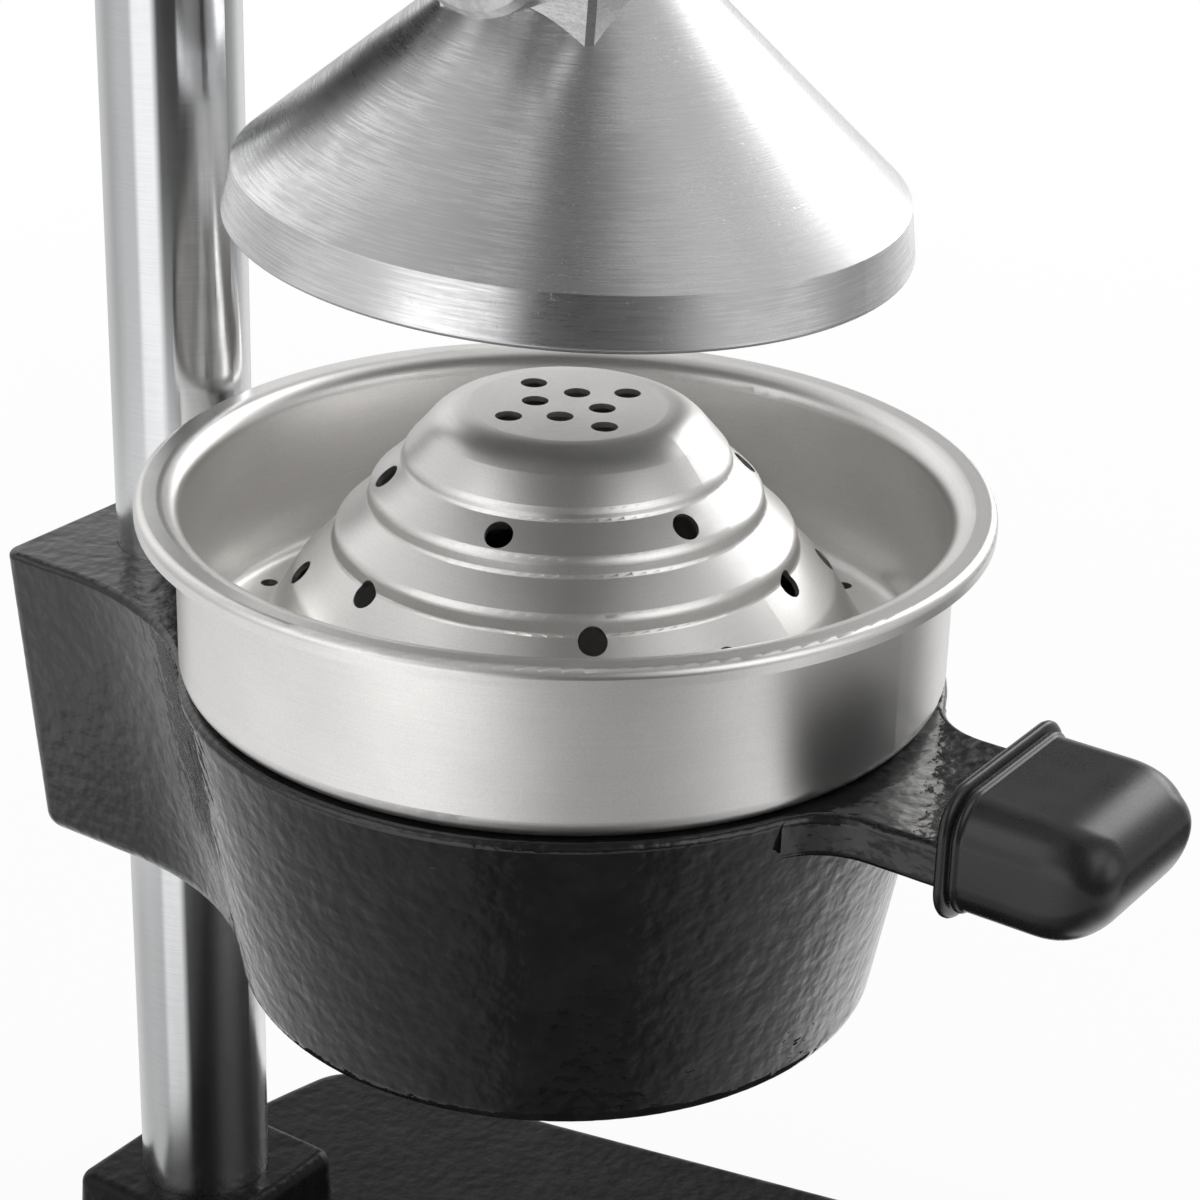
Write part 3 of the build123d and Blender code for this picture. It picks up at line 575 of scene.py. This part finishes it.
# How bright gloss shows the room and the table, by the turn in degrees from the camera to the right
room = {
    "most": 4.0,
    "low": ((-180, 1.0), (-120, 0.75), (-100, 0.6), (-80, 0.5), (-62, 0.4), (-30, 0.24), (-15, 0.08),
            (30, 0.08), (45, 0.24), (62, 0.45), (80, 0.6), (100, 0.9), (125, 1.6), (180, 1.0)),
    "level": ((-180, 0.7), (-134, 0.7), (-110, 0.55), (-85, 0.7), (-60, 0.7), (-52, 1.35), (-24, 1.4),
              (-13, 0.07), (0, 0.03), (28, 0.03), (38, 0.15), (48, 0.45), (58, 0.6), (66, 0.5),
              (76, 0.66), (88, 0.66), (96, 0.45), (112, 0.34), (128, 0.6), (142, 0.9), (160, 0.9),
              (180, 0.7)),
    "raised": ((-180, 0.88), (-140, 1.2), (-120, 0.85), (-95, 0.65), (-75, 1.4), (-60, 1.5), (-50, 1.3),
               (-38, 0.72), (-27, 0.4), (-10, 0.15), (5, 0.13), (18, 0.22), (30, 0.6), (41, 1.7),
               (70, 1.5), (84, 0.55), (108, 0.5), (122, 0.8), (130, 4.0), (151, 4.0), (157, 0.3),
               (162, 0.16), (170, 0.2), (177, 0.8), (180, 0.88)),
    "high": ((-180, 0.6), (-84, 0.42), (-50, 0.48), (-28, 0.42), (-14, 0.12), (26, 0.08), (42, 0.34),
             (52, 0.44), (80, 0.36), (104, 0.34), (118, 0.6), (130, 0.8), (180, 0.6)),
    # where one band gives way to the next, by the sine of the rise
    "steps": (("level", -0.66, -0.45), ("raised", 0.0, 0.3), ("high", 0.66, 0.85)),
    "table": ((-180, 0.85), (-127, 0.82), (-105, 0.98), (-71, 1.05), (-55, 1.18), (-39, 1.28),
              (-29, 1.2), (-16, 1.0), (-3, 0.7), (22, 0.56), (35, 0.62), (49, 0.95), (63, 1.2),
              (76, 0.9), (88, 0.22), (98, 0.1), (115, 0.05), (123, 0.4), (134, 1.0), (180, 0.85)),
    "tableFrom": (0.26, 0.34), "tableTo": (0.62, 0.5),  # metres from the press's axis
}


# Rays from the camera, from gloss and through glass
def rayKinds(sheet):
    kinds = ("Is Camera Ray", "Is Glossy Ray", "Is Transmission Ray")
    return sheet.add("ShaderNodeLightPath", out=kinds)


# One of the room's bands, looked up by the turn of a direction or a place
def roomBand(sheet, way, band):
    ahead, right = sheet.dot(way, tuple(toCamera)), sheet.dot(way, tuple(toRight))
    turn = right.sum("ARCTAN2", right, ahead) / (2 * math.pi) + 0.5
    stops = [(degrees / 360 + 0.5, shade / room["most"]) for degrees, shade in room[band]]
    return sheet.add("ShaderNodeValToRGB", {"stops": stops}, {0: turn}) * room["most"]


def floorFinish():
    material, sheet = newFinish("paleFloor")
    camera, gloss, clear = rayKinds(sheet)
    place = sheet.place()
    away = sheet.dot(place, place) ** 0.5
    grain = sheet.noise(place, **studio["grain"])
    paper = sheet.add("ShaderNodeBsdfDiffuse", None, {
        "Color": sheet.tint(grain, studio["shade"], studio["paper"])})
    glow = sheet.add("ShaderNodeEmission", None, {"Color": colour(studio["white"]), "Strength": 1.0})
    white = sheet.ramp(away, *studio["whiteAt"], studio["glow"], 1.0)
    lit = sheet.add("ShaderNodeMixShader", None, {0: (camera + clear) * white, 1: paper, 2: glow})
    # gloss sees a table round the press, and the room past it
    near = sheet.ramp(away, *room["tableFrom"]) * sheet.ramp(away, *room["tableTo"])
    table = sheet.add("ShaderNodeEmission", None, {
        "Color": roomBand(sheet, place, "table"), "Strength": 1.0})
    beyond = sheet.add("ShaderNodeBsdfTransparent")
    shown = sheet.add("ShaderNodeMixShader", None, {0: near, 1: beyond, 2: table})
    seen = sheet.add("ShaderNodeMixShader", None, {0: gloss, 1: lit, 2: shown})
    sheet.add("ShaderNodeOutputMaterial", None, {"Surface": seen})
    return material


def addFloor():
    ahead, wide = toCamera * studio["front"], toRight * studio["side"]
    rear = -toCamera * studio["back"]
    corners = [ahead - wide, ahead + wide, rear + wide, rear - wide]
    mesh = bpy.data.meshes.new("paleFloor")
    mesh.from_pydata([corner[:] for corner in corners], [], [[0, 1, 2, 3]])
    mesh.materials.append(floorFinish())
    floor = bpy.data.objects.new("paleFloor", mesh)
    scene.collection.objects.link(floor)


def addWorld():
    world = bpy.data.worlds.new("studioRoom")
    scene.world = world
    sheet = Sheet(world)
    look = sheet.add("ShaderNodeTexCoord", out="Generated")
    up = sheet.split(look)[2]
    shown = roomBand(sheet, look, "low")
    for band, start, end in room["steps"]:
        above = sheet.ramp(up, start, end)
        shown = shown * (1 - above) + roomBand(sheet, look, band) * above
    camera, gloss, clear = rayKinds(sheet)
    plain = sheet.ramp(camera + clear, 0.0, 1.0)
    level = plain + (1 - plain) * (gloss * shown + (1 - gloss) * studio["ambient"])
    glow = sheet.add("ShaderNodeBackground", None, {"Color": level, "Strength": 1.0})
    sheet.add("ShaderNodeOutputWorld", None, {"Surface": glow})
    world.cycles.sampling_method = "NONE"  # gloss has a room of its own, so only rays that leave find it


# turn is from the camera towards the right, rise is above level, both in degrees
softboxes = {
    "keyLeft": {"turn": -45.0, "rise": 22.0, "away": 1.0, "wide": 0.5, "tall": 1.0, "glow": 1.4},
    "highRight": {"turn": 98.0, "rise": 50.0, "away": 1.1, "wide": 0.8, "tall": 0.8, "glow": 2.2},
    "above": {"turn": 180.0, "rise": 78.0, "away": 1.3, "wide": 1.0, "tall": 1.0, "glow": 1.2},
}


def addSoftbox(name, box):
    turn, rise = math.radians(box["turn"]), math.radians(box["rise"])
    level = toCamera * math.cos(turn) + toRight * math.sin(turn)
    way = level * math.cos(rise) + upright * math.sin(rise)
    data = bpy.data.lights.new(name, "AREA")
    data.shape = "RECTANGLE"
    data.size, data.size_y = box["wide"], box["tall"]
    data.energy = box["glow"] * math.pi * box["wide"] * box["tall"]
    lamp = bpy.data.objects.new(name, data)
    lamp.location = lipMiddle + way * box["away"]
    lamp.rotation_euler = (-way).to_track_quat("-Z", "Y").to_euler()
    lamp.visible_camera = False
    lamp.visible_glossy = False  # the room already shows these to gloss
    scene.collection.objects.link(lamp)


addFloor()
addWorld()
for name, box in softboxes.items():
    addSoftbox(name, box)
scene.view_settings.view_transform = "Standard"
print("floor, world and", len(softboxes), "softboxes")
